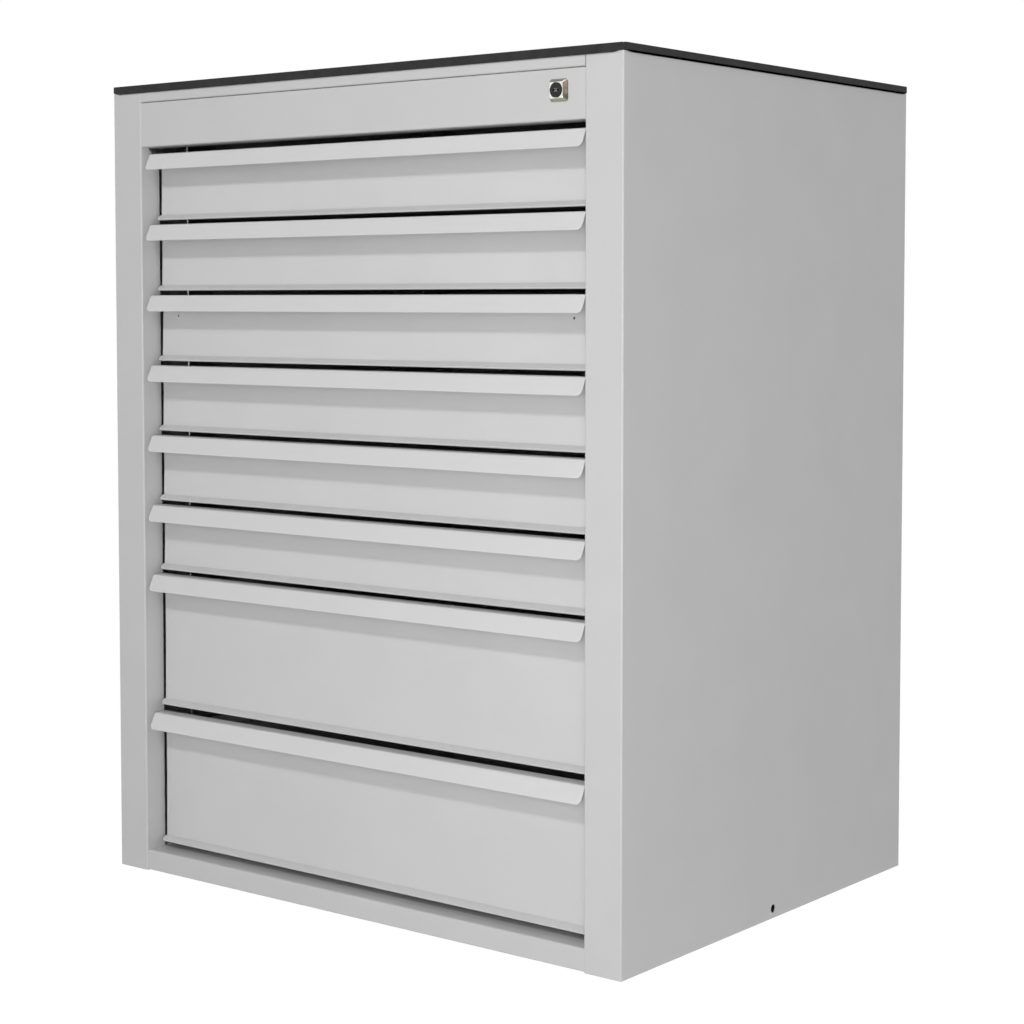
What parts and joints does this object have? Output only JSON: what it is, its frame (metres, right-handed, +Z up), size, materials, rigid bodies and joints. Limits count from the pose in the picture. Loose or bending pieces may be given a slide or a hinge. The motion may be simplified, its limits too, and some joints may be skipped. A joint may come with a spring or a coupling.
{
  "type": "microscope slide cabinet",
  "caption": "Free-standing lockable steel cabinet of pull-out drawers with slide lanes for storing microscope slides, with a ribbed rubber top mat.",
  "frame": {"origin": "centre of the whole box's footprint, on the floor that the cabinet stands on", "axes": "+Z up, the drawers open towards -Y, +X is the right-hand side seen from the front"},
  "size_m": [0.719, 0.564, 0.901],
  "materials": {
    "cabinet_paint": "light grey powder coat, semi-gloss, very fine texture",
    "tray_paint": "light grey powder coat, matt",
    "zinc_plate": "bright zinc plated",
    "rubber": "black, finely ribbed, matt",
    "nylon": "natural nylon",
    "screw_steel": "zinc plated",
    "lock_chrome": "polished chrome",
    "lock_black": "black lacquered die-casting"
  },
  "bodies": {
    "cabinet": {"left_side_panel": "cabinet_paint", "right_side_panel": "cabinet_paint", "back_panel": "cabinet_paint", "top_panel": "cabinet_paint", "bottom_panel": "cabinet_paint", "lock_fascia": "cabinet_paint", "rubber_mat": "rubber", "left_front_upright": "zinc_plate", "right_front_upright": "zinc_plate", "left_rear_upright": "zinc_plate", "right_rear_upright": "zinc_plate", "runner_pair_1": "zinc_plate", "runner_pair_2": "zinc_plate", "runner_pair_3": "zinc_plate", "runner_pair_4": "zinc_plate", "runner_pair_5": "zinc_plate", "runner_pair_6": "zinc_plate", "runner_pair_7": "zinc_plate", "runner_pair_8": "zinc_plate", "runner_stop_blocks": "nylon", "runner_screws": "screw_steel", "back_panel_screws": "screw_steel", "lock_housing": "lock_chrome", "lock_nut": "screw_steel", "locking_bar_guides": "nylon"},
    "drawer_1": {"drawer_1_front": "cabinet_paint", "drawer_1_tray": "tray_paint", "drawer_1_rails": "zinc_plate", "drawer_1_lane_strips": "tray_paint"},
    "drawer_2": {"drawer_2_front": "cabinet_paint", "drawer_2_tray": "tray_paint", "drawer_2_rails": "zinc_plate", "drawer_2_lane_strips": "tray_paint"},
    "drawer_3": {"drawer_3_front": "cabinet_paint", "drawer_3_tray": "tray_paint", "drawer_3_rails": "zinc_plate", "drawer_3_lane_strips": "tray_paint"},
    "drawer_4": {"drawer_4_front": "cabinet_paint", "drawer_4_tray": "tray_paint", "drawer_4_rails": "zinc_plate", "drawer_4_lane_strips": "tray_paint"},
    "drawer_5": {"drawer_5_front": "cabinet_paint", "drawer_5_tray": "tray_paint", "drawer_5_rails": "zinc_plate", "drawer_5_lane_strips": "tray_paint"},
    "drawer_6": {"drawer_6_front": "cabinet_paint", "drawer_6_tray": "tray_paint", "drawer_6_rails": "zinc_plate", "drawer_6_lane_strips": "tray_paint"},
    "drawer_7": {"drawer_7_front": "cabinet_paint", "drawer_7_tray": "tray_paint", "drawer_7_rails": "zinc_plate"},
    "drawer_8": {"drawer_8_front": "cabinet_paint", "drawer_8_tray": "tray_paint", "drawer_8_rails": "zinc_plate"},
    "lock": {"lock_cylinder": "lock_black", "lock_cam": "zinc_plate", "cam_screw": "screw_steel"},
    "locking_bar": {"locking_bar": "zinc_plate"}
  },
  "joints": [
    {"name": "drawer_1_slide", "type": "slide", "parent": "cabinet", "child": "drawer_1", "axis": [0, -1, 0], "range_m": [0, 0.4]},
    {"name": "drawer_2_slide", "type": "slide", "parent": "cabinet", "child": "drawer_2", "axis": [0, -1, 0], "range_m": [0, 0.4]},
    {"name": "drawer_3_slide", "type": "slide", "parent": "cabinet", "child": "drawer_3", "axis": [0, -1, 0], "range_m": [0, 0.4]},
    {"name": "drawer_4_slide", "type": "slide", "parent": "cabinet", "child": "drawer_4", "axis": [0, -1, 0], "range_m": [0, 0.4]},
    {"name": "drawer_5_slide", "type": "slide", "parent": "cabinet", "child": "drawer_5", "axis": [0, -1, 0], "range_m": [0, 0.4]},
    {"name": "drawer_6_slide", "type": "slide", "parent": "cabinet", "child": "drawer_6", "axis": [0, -1, 0], "range_m": [0, 0.4]},
    {"name": "drawer_7_slide", "type": "slide", "parent": "cabinet", "child": "drawer_7", "axis": [0, -1, 0], "range_m": [0, 0.4]},
    {"name": "drawer_8_slide", "type": "slide", "parent": "cabinet", "child": "drawer_8", "axis": [0, -1, 0], "range_m": [0, 0.4]},
    {"name": "locking_bar_lift", "type": "slide", "parent": "cabinet", "child": "locking_bar", "axis": [0, 0, 1], "range_m": [0, 0.0113]},
    {"name": "lock_turn", "type": "hinge", "parent": "cabinet", "child": "lock", "pos_m": [0.281, -0.2775, 0.86], "axis": [0, -1, 0], "range_deg": [0, 90]}
  ],
  "couplings": [
    {"joint": "lock_turn", "follows": "locking_bar_lift", "rad_per_m": 138.84}
  ]
}
